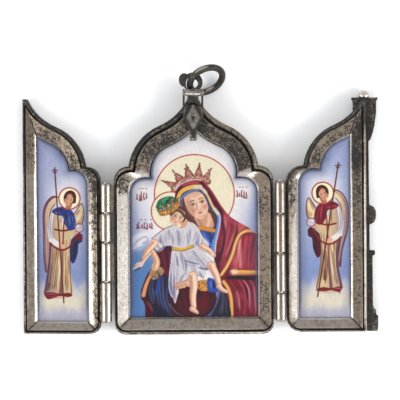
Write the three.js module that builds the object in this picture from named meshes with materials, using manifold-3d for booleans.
// A folding pendant icon in silver and enamel: a centre leaf with an ogee top, two wings that close over it
// like doors, a half column on the right wing's free edge, a flip-over clasp and a hanging ring.
// It lies open on its back. Millimetres, +Z up out of the pictures, +Y towards the ring, +X to the right.
// Heights up the leaves are counted from the centre leaf's foot. The origin is on the back of the centre leaf.

import * as THREE from "three";
import { mergeVertices } from "three/addons/utils/BufferGeometryUtils.js";
import Module from "manifold-3d";

const wasm = await Module();
wasm.setup();

const { degToRad, lerp } = THREE.MathUtils;
const { PI } = Math;

// ---- Driving dimensions -------------------------------------------------------------------------

const ORIGIN_HEIGHT = 25; // height of the origin above the foot of the centre leaf
const HALF_WIDTH = 17; // centre leaf, axis to side
const DEPTH = 5.2; // back of the centre leaf to the plane of the hinge axes
const WING_DEPTH = 2.4; // the same on a wing
const FACE_GAP = 0.15; // each leaf stops this far short of the plane where the shut leaves meet
const SEAT_GAP = 0.1; // between pieces that sit in or on each other
const WALL = 0.6; // floor of each tray
const BEZEL_BASE = WALL + SEAT_GAP; // underside of the bezels and plaques above a tray's back

// The ogee: a lower arc that bulges out and an upper arc that sweeps up to the point. Their centres stay
// put for every inner line of a leaf, so only the radii change. Across is counted from the leaf's side.
const SHOULDER_TOP = 36;
const LOWER_ARC = { x: 13.96, y: 34.53, radius: 10.96 };
const UPPER_RADIUS = 12;
const TURN = degToRad(112.8); // direction from the lower centre to where the two arcs meet
const UPPER_ARC = {
  x: LOWER_ARC.x + (LOWER_ARC.radius + UPPER_RADIUS) * Math.cos(TURN),
  y: LOWER_ARC.y + (LOWER_ARC.radius + UPPER_RADIUS) * Math.sin(TURN),
};
const CORNER_RADIUS = 2.35; // outer foot corner on the hinge side
const FREE_CORNER = 0.35; // outer corners on a wing's free side
const SHARP = 0.1; // corners of the inner lines

// Each line of a leaf is set in from the outer edge: at the side, the foot, the ogee ("arch"), the free edge
// of a wing, and "drop" is how far its shoulder lies below the outer one. "round" is its shoulder's radius.
const line = (side, foot, arch, drop, free, round = 3) => ({ side, foot, arch, drop, free, round });

const CENTRE = {
  outer: line(0, 0, 0, 0, 0),
  rim: line(0.42, 0.85, 1.3, 1.05, 0),
  bezel: line(0.54, 1, 1.6, 1.3, 0),
  slope: line(2.9, 3.3, 4.35, 2.15, 0),
  opening: line(3.35, 3.75, 4.8, 2.55, 0),
  top: 50.9,
  depth: DEPTH,
};
const LEFT = {
  outer: line(0, 0.15, 0, 0, 0),
  rim: line(0.42, 0.75, 0.85, 0.3, 0.7),
  bezel: line(0.52, 0.9, 1, 0.42, 0.82),
  slope: line(2.4, 2.45, 3.3, 0.65, 2.5),
  opening: line(2.8, 2.85, 3.7, 0.8, 2.95),
  top: 50.6,
  depth: WING_DEPTH,
  side: -1,
  axis: 18.7, // hinge axis from the middle of the centre leaf
  root: 1.46, // hinge axis to the nominal side of the wing
  width: 16.94, // nominal side to free edge
};
const RIGHT = {
  outer: line(-0.7, 0.35, 0, 0, 0, 3.7),
  rim: line(-0.3, 0.95, 0.85, 0.55, 0.85, 3.4),
  bezel: line(-0.2, 1.1, 1, 0.7, 0.97, 3.3),
  slope: line(1.6, 2.9, 3.2, 0.75, 2.95),
  opening: line(2.0, 3.3, 3.6, 0.9, 3.4),
  top: 49.8,
  depth: WING_DEPTH,
  side: 1,
  axis: 18.45,
  root: 1.9,
  width: 16.55,
};

// The half column and its ball
const COLUMN_DEPTH = DEPTH - WING_DEPTH - SEAT_GAP;
const COLUMN_INSET = 0.15; // its axis inside the wing's free edge
const COLUMN_SECTION_STEPS = 14;
const MELON = { from: 23.1, to: 27.5, lobes: 4, groove: 0.12 };
const BALL = { radius: 1.18, rise: 0.43, fromBack: 1.2 }; // centre above the abacus, and below the wing's back

// Hinges, listed from the ring end down
const KNUCKLE = { radius: 1.1, bore: 0.57, chamfer: 0.1, gap: 0.25, sides: 14 };
const WEB = { height: 1, inset: 0.25 }; // the strap that joins a knuckle to its leaf
const PIN_RADIUS = 0.5;
const LEFT_HINGE = { top: 32.3, lengths: [6.1, 6, 8.15, 8.4], firstOnWing: false };
const RIGHT_HINGE = { top: 32.6, lengths: [6.8, 8.1, 8.15, 5.9], firstOnWing: true };

// Bail, clasp and ring
const PIVOT = { y: 51.62, z: 4.9 };
const BARREL = { radius: 0.65, half: 1.68, bore: 0.45 };
const EYE = { y: 53.78, outer: 2.1, thickness: 0.7 };
const EYE_HOLE = { x: 0.12, y: 53.5, radius: 0.95 };
const EYE_SLOT = { x: -0.607, y: 53.64, wide: 0.86, long: 1.4, turn: -0.185 }; // where the wire lies, and has worn
const EYE_LOBE = { x: -1.85, y: 54.3, wide: 1.15, long: 1.45 };
const NECK = { half: 1.15, front: 49.3, top: DEPTH + 0.1, foot: 3.2, thickness: 0.4 };
const CLASP = { inner: 1.75, outer: 2.2, under: 0.4, thickness: 0.65, eye: 0.75, crown: 0.3 };
const LOZENGE = { arch: 2.55, shoulder: 3.85, widest: 5.1, waist: 8.1, tip: 10.3, stem: 0.75 };
const SOCKET = { from: 4.05, rise: -0.45, radius: 1.2 }; // the hollow under the lozenge that takes the ball
const CLASP_PIN = { radius: 0.4, half: 2.3 };
const RING = { radius: 3.7, wire: 0.73, turn: degToRad(25), lean: degToRad(54), clear: 0.02 };

// ---- Materials ----------------------------------------------------------------------------------

const metal = (color, roughness) =>
  new THREE.MeshStandardMaterial({ color, roughness, metalness: 0.9, flatShading: true });
const enamel = (color) =>
  new THREE.MeshStandardMaterial({ color, roughness: 0.2, metalness: 0, flatShading: true });

// ---- Solids -------------------------------------------------------------------------------------

/** Six times the signed volume of a closed indexed mesh. */
function signedVolume(points, triangles) {
  let sum = 0;
  for (const [a, b, c] of triangles) {
    sum += points[a].dot(new THREE.Vector3().crossVectors(points[b], points[c]));
  }
  return sum;
}

/** A geometry from points and triangles, with its faces turned outwards. */
function closedGeometry(points, triangles) {
  const outward = signedVolume(points, triangles) > 0;
  const faces = outward ? triangles : triangles.map(([a, b, c]) => [a, c, b]);
  const geometry = new THREE.BufferGeometry().setFromPoints(points);
  geometry.setIndex(faces.flat());
  return geometry;
}

/** Triangles that close the end of a loft. "flat" maps a point to the plane of the cap. */
function capTriangles(ring, first, flat, facing) {
  const contour = ring.map(flat);
  return THREE.ShapeUtils.triangulateShape(contour, []).map(([a, b, c]) => {
    const turn = THREE.ShapeUtils.area([contour[a], contour[b], contour[c]]);
    const order = turn * facing > 0 ? [a, b, c] : [a, c, b];
    return order.map((i) => i + first);
  });
}

/** Joins rings of equal length. A ring-shaped solid joins the last ring to the first and has no caps. */
function loft(rings, { ringShaped = false, flat = (p) => new THREE.Vector2(p.x, p.y) } = {}) {
  const size = rings[0].length;
  const triangles = [];
  const joins = ringShaped ? rings.length : rings.length - 1;
  for (let k = 0; k < joins; k += 1) {
    const low = k * size;
    const high = ((k + 1) % rings.length) * size;
    for (let i = 0; i < size; i += 1) {
      const next = (i + 1) % size;
      triangles.push([low + i, low + next, high + next], [low + i, high + next, high + i]);
    }
  }
  if (!ringShaped) {
    const turn = Math.sign(THREE.ShapeUtils.area(rings[0].map(flat)));
    triangles.push(...capTriangles(rings[0], 0, flat, -turn));
    const last = rings.length - 1;
    triangles.push(...capTriangles(rings[last], last * size, flat, turn));
  }
  return closedGeometry(rings.flat(), triangles);
}

/** A closed geometry as a solid that can be joined and cut. */
function toSolid(geometry) {
  const bare = geometry.clone();
  bare.deleteAttribute("normal");
  bare.deleteAttribute("uv");
  const merged = mergeVertices(bare, 1e-4);
  return new wasm.Manifold(
    new wasm.Mesh({
      numProp: 3,
      vertProperties: new Float32Array(merged.attributes.position.array),
      triVerts: new Uint32Array(merged.index.array),
    }),
  );
}

/** A solid as a geometry again. */
function toGeometry(solid) {
  const mesh = solid.getMesh();
  const geometry = new THREE.BufferGeometry();
  geometry.setAttribute("position", new THREE.BufferAttribute(mesh.vertProperties, 3));
  geometry.setIndex(new THREE.BufferAttribute(mesh.triVerts, 1));
  return geometry;
}

const join = (...geometries) => toGeometry(geometries.map(toSolid).reduce((all, one) => all.add(one)));
const cut = (geometry, ...tools) =>
  toGeometry(tools.map(toSolid).reduce((left, tool) => left.subtract(tool), toSolid(geometry)));

/** A box between two corners. */
function block(low, high) {
  const size = high.map((value, i) => value - low[i]);
  const middle = high.map((value, i) => (value + low[i]) / 2);
  return new THREE.BoxGeometry(...size).translate(...middle);
}

/** A cylinder along X. */
function rod(radius, from, to, y, z, sides) {
  const geometry = new THREE.CylinderGeometry(radius, radius, to - from, sides);
  return geometry.rotateZ(PI / 2).translate((from + to) / 2, y, z);
}

// ---- Outlines of the leaves -----------------------------------------------------------------------

const arc = (x, y, radius, from, to, steps) =>
  new THREE.EllipseCurve(x, y, radius, radius, from, to, to < from).getPoints(steps);

/** One line of a leaf from its foot corner up to its point; across is counted from the nominal side. */
function risingEdge(l, reach, top, tip) {
  const corner = Math.max(SHARP, CORNER_RADIUS - l.side);
  const shoulder = SHOULDER_TOP - l.drop;
  const lower = LOWER_ARC.radius - l.arch;
  const upper = UPPER_RADIUS + l.arch;
  const cusp = PI - Math.asin((shoulder - LOWER_ARC.y) / lower);
  const atTop = Math.asin((top - UPPER_ARC.y) / upper);
  const atReach = -Math.acos((reach - tip - UPPER_ARC.x) / upper);
  return [
    ...arc(l.side + corner, l.foot + corner, corner, 1.5 * PI, PI, 4),
    ...arc(l.side + l.round, shoulder - l.round, l.round, PI, PI / 2, 5),
    ...arc(LOWER_ARC.x, LOWER_ARC.y, lower, cusp, TURN, 8),
    ...arc(UPPER_ARC.x, UPPER_ARC.y, upper, TURN - PI, Math.min(atTop, atReach), 8).slice(1),
  ];
}

/** One line of the centre leaf, all round. */
function centreOutline(l) {
  const left = risingEdge(l, HALF_WIDTH, CENTRE.top, SHARP).map((p) => new THREE.Vector2(p.x - HALF_WIDTH, p.y));
  const right = left.map((p) => new THREE.Vector2(-p.x, p.y)).reverse();
  return [...left, ...right];
}

/** One line of a wing, all round, measured from its hinge axis. */
function wingOutline(leaf, l) {
  const outerLine = l.free < SHARP;
  const tip = outerLine ? FREE_CORNER : SHARP;
  const reach = leaf.width - l.free;
  const rising = risingEdge(l, reach, leaf.top, tip + 0.02);
  const peak = rising[rising.length - 1].y;
  const points = [
    ...rising,
    ...arc(reach - tip, peak - tip, tip, PI / 2, 0, 3),
    ...arc(reach - tip, l.foot + tip, tip, 0, -PI / 2, 3),
  ];
  return points.map((p) => new THREE.Vector2(leaf.side * (leaf.root + p.x), p.y));
}

const outlineOf = (leaf, l) => (leaf === CENTRE ? centreOutline(l) : wingOutline(leaf, l));

/** A line part of the way from one to another. */
function between(a, b, share) {
  const keys = Object.keys(a);
  return Object.fromEntries(keys.map((key) => [key, lerp(a[key], b[key], share)]));
}

/** A ring of points at a height above a leaf's back, in the leaf's own frame with the hinge plane at 0. */
function ringAt(leaf, l, height) {
  return outlineOf(leaf, l).map((p) => new THREE.Vector3(p.x, p.y, height - leaf.depth));
}

// ---- Pieces of a leaf -----------------------------------------------------------------------------

/** The tray: a flat back, a soft outer edge and a rounded rim round the floor. */
function leafCase(leaf) {
  const face = leaf.depth - FACE_GAP;
  const profile = [
    [0.45, 0],
    [0.12, 0.2],
    [0, 0.5],
    [0, face - 0.65],
    [0.18, face - 0.18],
    [0.5, face],
    [0.82, face - 0.12],
    [1, face - 0.5],
    [1, WALL],
  ];
  return loft(profile.map(([share, height]) => ringAt(leaf, between(leaf.outer, leaf.rim, share), height)));
}

/** The bezel: a crisp outer arris, a broad face that slopes in, and a steep inner bevel. */
function leafBezel(leaf) {
  const face = leaf.depth - FACE_GAP;
  const fall = leaf.depth === DEPTH ? 0.75 : 0.45;
  const bevel = leaf.depth === DEPTH ? 0.65 : 0.4;
  const inner = face - fall;
  return loft(
    [
      ringAt(leaf, leaf.bezel, BEZEL_BASE),
      ringAt(leaf, leaf.bezel, face - 0.1),
      ringAt(leaf, between(leaf.bezel, leaf.slope, 0.05), face),
      ringAt(leaf, leaf.slope, inner),
      ringAt(leaf, leaf.opening, inner - bevel),
      ringAt(leaf, leaf.opening, BEZEL_BASE),
    ],
    { ringShaped: true },
  );
}

/** The plaque: it fills the bezel's opening and is slightly domed. */
function leafEnamel(leaf) {
  const edge = leaf.depth - FACE_GAP - (leaf.depth === DEPTH ? 1.45 : 0.9);
  const crown = leaf.depth === DEPTH ? 0.45 : 0.25;
  const o = leaf.opening;
  const seat = { ...o, side: o.side + SEAT_GAP, foot: o.foot + SEAT_GAP, arch: o.arch + SEAT_GAP };
  seat.drop += SEAT_GAP;
  seat.free += SEAT_GAP;
  const rim = ringAt(leaf, seat, edge);
  const middle = rim.reduce((sum, p) => sum.add(p), new THREE.Vector3()).divideScalar(rim.length);
  const domed = [0.25, 0.55, 0.85].map((share) =>
    rim.map((p) => p.clone().lerp(middle, share).setZ(rim[0].z + crown * (1 - (1 - share) ** 2))),
  );
  return loft([ringAt(leaf, seat, BEZEL_BASE), rim, ...domed]);
}

// ---- Hinges -----------------------------------------------------------------------------------------

/** Where each knuckle of a hinge starts and ends, and whether the wing carries it. */
function knuckles(hinge) {
  let top = hinge.top;
  return hinge.lengths.map((length, i) => {
    const foot = top - length;
    const found = { foot, top, onWing: (i % 2 === 0) === hinge.firstOnWing };
    top = foot - KNUCKLE.gap;
    return found;
  });
}

/** A knuckle on the hinge axis: a tube, and a strap that reaches out to its leaf's side wall. */
function knuckle({ foot, top }, direction, reach) {
  const { radius, bore, chamfer, sides } = KNUCKLE;
  const profile = [
    new THREE.Vector2(bore, foot),
    new THREE.Vector2(radius - chamfer, foot),
    new THREE.Vector2(radius, foot + chamfer),
    new THREE.Vector2(radius, top - chamfer),
    new THREE.Vector2(radius - chamfer, top),
    new THREE.Vector2(bore, top),
    new THREE.Vector2(bore, foot),
  ];
  const tube = new THREE.LatheGeometry(profile, sides);
  const near = (bore + radius) / 2;
  const ends = [direction * near, direction * (reach - SEAT_GAP / 2)].sort((a, b) => a - b);
  const strap = block([ends[0], foot + WEB.inset, -WEB.height], [ends[1], top - WEB.inset, -0.02]);
  return join(tube, strap);
}

/** A riveted pin through all the knuckles of a hinge. */
function hingePin(hinge) {
  const all = knuckles(hinge);
  const head = 0.3;
  const low = all[all.length - 1].foot - 0.1;
  const high = hinge.top + 0.1;
  const wide = PIN_RADIUS + 0.3;
  const profile = [
    new THREE.Vector2(0, low - head),
    new THREE.Vector2(PIN_RADIUS, low - head),
    new THREE.Vector2(wide, low - head / 3),
    new THREE.Vector2(wide, low),
    new THREE.Vector2(PIN_RADIUS, low),
    new THREE.Vector2(PIN_RADIUS, high),
    new THREE.Vector2(wide, high),
    new THREE.Vector2(wide, high + head / 3),
    new THREE.Vector2(PIN_RADIUS, high + head),
    new THREE.Vector2(0, high + head),
  ];
  return new THREE.LatheGeometry(profile, 12);
}

// ---- Half column --------------------------------------------------------------------------------------

/** Heights and half widths of the column, foot to abacus. */
function columnProfile() {
  const { from, to } = MELON;
  const middle = (from + to) / 2;
  const melon = [0.12, 0.3, 0.5, 0.7, 0.88].map((share) => {
    const height = lerp(from, to, share);
    const bulge = Math.sqrt(1 - ((height - middle) / (to - middle)) ** 2);
    return [height, lerp(1, 2.46, bulge)];
  });
  return [
    [0.25, 2.45],
    [0.75, 2.74],
    [3.6, 2.74],
    [3.9, 2.35],
    [4.9, 2.25],
    [5.3, 1.85],
    [6, 1.62],
    [16.5, 1.62],
    [16.6, 2.05],
    [17.1, 2.15],
    [17.7, 2.05],
    [17.8, 1],
    [from, 1],
    ...melon,
    [to, 0.95],
    [41, 0.9],
    [41.4, 1.3],
    [42.4, 1.68],
    [44.5, 2.2],
    [47, 2.6],
    [49.3, 2.6],
    [49.85, 2.65],
    [49.85, 2.9],
    [50.5, 2.9],
  ];
}

/** The half column: flat side up against the wing's back, round side down. It is built on its own axis. */
function column() {
  const full = 2.74;
  const rings = columnProfile().map(([height, half]) => {
    const inMelon = height > MELON.from && height < MELON.to;
    const ring = [];
    for (let i = 0; i <= COLUMN_SECTION_STEPS; i += 1) {
      const angle = (PI * i) / COLUMN_SECTION_STEPS;
      const lobe = Math.abs(Math.sin(MELON.lobes * angle));
      const radius = half * (inMelon ? 1 - MELON.groove * (1 - lobe) * Math.sin(angle) : 1);
      const depth = (Math.min(radius, full) * COLUMN_DEPTH) / full;
      ring.push(new THREE.Vector3(radius * Math.cos(angle), height, -depth * Math.sin(angle)));
    }
    return ring;
  });
  return loft(rings, { flat: (p) => new THREE.Vector2(p.x, p.z) });
}

/** The ball, cut flat where it sits on the abacus. */
function ballFinial() {
  const { radius, rise } = BALL;
  const start = -Math.asin(rise / radius);
  const curve = arc(0, rise, radius, start, PI / 2, 8);
  curve[curve.length - 1].x = 0;
  return new THREE.LatheGeometry([new THREE.Vector2(0, 0), ...curve], 16);
}

// ---- Bail, clasp and ring ---------------------------------------------------------------------------------

/** The bail: a foot on the leaf's point, a tongue over its rim, the barrel and the eye. */
function bail() {
  const { y, z } = PIVOT;
  const back = CENTRE.top + SEAT_GAP / 2;
  const face = DEPTH - 0.1;
  const foot = block([-NECK.half, back, NECK.foot], [NECK.half, back + NECK.thickness, z]);
  const riser = block([-NECK.half, back, z - 0.2], [NECK.half, y, NECK.top]);
  const tongue = block([-NECK.half, NECK.front, face], [NECK.half, y - 0.2, NECK.top]);
  const barrel = rod(BARREL.radius, -BARREL.half, BARREL.half, y, z, 16);
  const disc = new THREE.CylinderGeometry(EYE.outer, EYE.outer, EYE.thickness, 24);
  disc.rotateX(PI / 2).translate(0, EYE.y, z);
  const oval = (at, thickness) => {
    const form = new THREE.CylinderGeometry(1, 1, thickness, 24);
    return form.rotateX(PI / 2).scale(at.wide, at.long, 1).rotateZ(at.turn ?? 0).translate(at.x, at.y, z);
  };
  const half = EYE.thickness / 2;
  const plate = block([-1.35, y, z - half], [1.35, EYE.y, z + half]);
  const across = new THREE.CylinderGeometry(EYE_HOLE.radius, EYE_HOLE.radius, EYE.thickness + 1, 24);
  across.rotateX(PI / 2).translate(EYE_HOLE.x, EYE_HOLE.y, z);
  const bore = rod(BARREL.bore, -BARREL.half - 1, BARREL.half + 1, y, z, 14);
  const whole = join(foot, riser, tongue, barrel, disc, plate, oval(EYE_LOBE, EYE.thickness));
  return cut(whole, across, oval(EYE_SLOT, EYE.thickness + 1), bore);
}

/** Half the lozenge's outline, from the top of its arch down to the end of the thumb tab. */
function lozengeHalf(shrink) {
  const wide = CLASP.outer - shrink;
  const stem = LOZENGE.stem - shrink;
  const arch = arc(0, 0, 1, 0.5 * PI, 0.1 * PI, 5).map(
    (p) => new THREE.Vector2(p.x * (wide + 0.05), lerp(LOZENGE.shoulder, LOZENGE.arch + shrink, p.y)),
  );
  return [
    ...arch,
    new THREE.Vector2(wide, LOZENGE.widest - 0.7),
    new THREE.Vector2(wide, LOZENGE.widest + 0.1),
    new THREE.Vector2(stem, LOZENGE.waist),
    new THREE.Vector2(stem, LOZENGE.tip - shrink),
  ];
}

/** The clasp, lying forward over the centre leaf with its pivot at the origin. */
function clasp() {
  const { inner, outer, under, thickness, eye, crown } = CLASP;
  const upper = under + thickness;
  const lozengeRing = (shrink, height) => {
    const half = lozengeHalf(shrink);
    const mirrored = half.slice(1).map((p) => new THREE.Vector2(-p.x, p.y)).reverse();
    return [...half, ...mirrored].map((p) => new THREE.Vector3(p.x, -p.y, height));
  };
  const lozenge = loft([
    lozengeRing(0.08, under),
    lozengeRing(0, under + 0.1),
    lozengeRing(0, upper - 0.15),
    lozengeRing(0.15, upper),
    lozengeRing(0.5, upper + crown),
  ]);
  const cheekShape = new THREE.Shape();
  cheekShape.moveTo(-0.35, 0.6);
  cheekShape.lineTo(1.1, upper);
  cheekShape.lineTo(4.6, upper);
  cheekShape.lineTo(4.6, under);
  cheekShape.lineTo(1.5, under);
  cheekShape.lineTo(0.5, -0.4);
  const cheeks = [-outer, inner].map((from) => {
    const bar = new THREE.ExtrudeGeometry(cheekShape, { depth: outer - inner, bevelEnabled: false });
    bar.rotateX(PI / 2).rotateZ(-PI / 2);
    bar.translate(from + outer - inner, 0, 0);
    return join(bar, rod(eye, from, from + outer - inner, 0, 0, 16));
  });
  const bore = rod(BARREL.bore, -outer - 1, outer + 1, 0, 0, 14);
  const socket = new THREE.SphereGeometry(SOCKET.radius, 16, 10);
  socket.translate(0, -SOCKET.from, SOCKET.rise);
  const pit = new THREE.SphereGeometry(0.32, 10, 8);
  pit.scale(1, 1.6, 1).translate(0, -LOZENGE.widest, upper + crown + 0.02);
  return cut(join(lozenge, ...cheeks), bore, socket, pit);
}

/** The ring's centre: its foot stands on the ground and its wire passes through the eye's hole. */
function ringCentre() {
  const { radius, wire, turn, lean, clear } = RING;
  const rise = radius * Math.sin(lean);
  const z = rise + wire + clear;
  const angle = PI + Math.asin((z - PIVOT.z) / rise);
  const along = radius * Math.cos(angle);
  const up = radius * Math.sin(angle) * Math.cos(lean);
  const x = EYE_SLOT.x - along * Math.cos(turn) + up * Math.sin(turn);
  const y = EYE_SLOT.y - along * Math.sin(turn) - up * Math.cos(turn);
  return new THREE.Vector3(x, y, z);
}

function hangingRing() {
  const geometry = new THREE.TorusGeometry(RING.radius, RING.wire, 10, 36);
  return geometry.rotateX(RING.lean).rotateZ(RING.turn);
}

// ---- Assembly -------------------------------------------------------------------------------------------------

const SILVER = metal(0x9a938a, 0.38);
const BRIGHT = metal(0xb4ada3, 0.28);
const DARK = metal(0x4c4742, 0.5);

const icon = new THREE.Group();
icon.position.y = -ORIGIN_HEIGHT;

function add(group, name, geometry, material) {
  const mesh = new THREE.Mesh(geometry, material);
  mesh.name = name;
  group.add(mesh);
  return mesh;
}

/** A group with its origin on a hinge axis. */
function leafGroup(x) {
  const group = new THREE.Group();
  group.position.set(x, 0, DEPTH);
  icon.add(group);
  return group;
}

/** How far the left wing hangs below level before the back of its free edge meets the ground. */
function wingDroop() {
  const reach = LEFT.root + LEFT.width - 0.45 * LEFT.rim.free;
  const slant = Math.hypot(reach, WING_DEPTH);
  return Math.asin((DEPTH - 0.01) / slant) - Math.atan2(WING_DEPTH, reach);
}

const centre = leafGroup(0);
const leftWing = leafGroup(-LEFT.axis);
leftWing.rotation.y = -wingDroop();
const rightWing = leafGroup(RIGHT.axis);

const leaves = [
  ["centre", CENTRE, centre, enamel(0xd9c7c0)],
  ["left", LEFT, leftWing, enamel(0xaab2cf)],
  ["right", RIGHT, rightWing, enamel(0xaab2cf)],
];
for (const [name, leaf, group, glaze] of leaves) {
  add(group, `${name}_case`, leafCase(leaf), SILVER);
  add(group, `${name}_bezel`, leafBezel(leaf), SILVER);
  add(group, `${name}_enamel`, leafEnamel(leaf), glaze);
}

const hinges = [
  ["left", LEFT_HINGE, LEFT, leftWing],
  ["right", RIGHT_HINGE, RIGHT, rightWing],
];
for (const [name, hinge, leaf, wing] of hinges) {
  knuckles(hinge).forEach((one, i) => {
    const wingReach = leaf.root + leaf.outer.side;
    const centreReach = leaf.axis - HALF_WIDTH;
    const direction = one.onWing ? leaf.side : -leaf.side;
    const geometry = knuckle(one, direction, one.onWing ? wingReach : centreReach);
    const mesh = add(one.onWing ? wing : centre, `${name}_hinge_${i + 1}`, geometry, BRIGHT);
    if (!one.onWing) mesh.position.x = leaf.side * leaf.axis;
  });
  add(centre, `${name}_hinge_pin`, hingePin(hinge), BRIGHT).position.x = leaf.side * leaf.axis;
}

const columnX = RIGHT.root + RIGHT.width - COLUMN_INSET;
add(rightWing, "column", column(), DARK).position.set(columnX, 0, -WING_DEPTH - SEAT_GAP);
const abacusTop = columnProfile().at(-1)[0];
const ballZ = -WING_DEPTH - SEAT_GAP - BALL.fromBack;
add(rightWing, "ball_finial", ballFinial(), BRIGHT).position.set(columnX, abacusTop + 0.03, ballZ);

const pivotOnLeaf = new THREE.Vector3(0, PIVOT.y, PIVOT.z);
add(icon, "bail", bail(), SILVER);
add(icon, "clasp", clasp(), SILVER).position.copy(pivotOnLeaf);
add(icon, "clasp_pin", rod(CLASP_PIN.radius, -CLASP_PIN.half, CLASP_PIN.half, 0, 0, 12), BRIGHT).position.copy(
  pivotOnLeaf,
);
add(icon, "hanging_ring", hangingRing(), SILVER).position.copy(ringCentre());

export default icon;
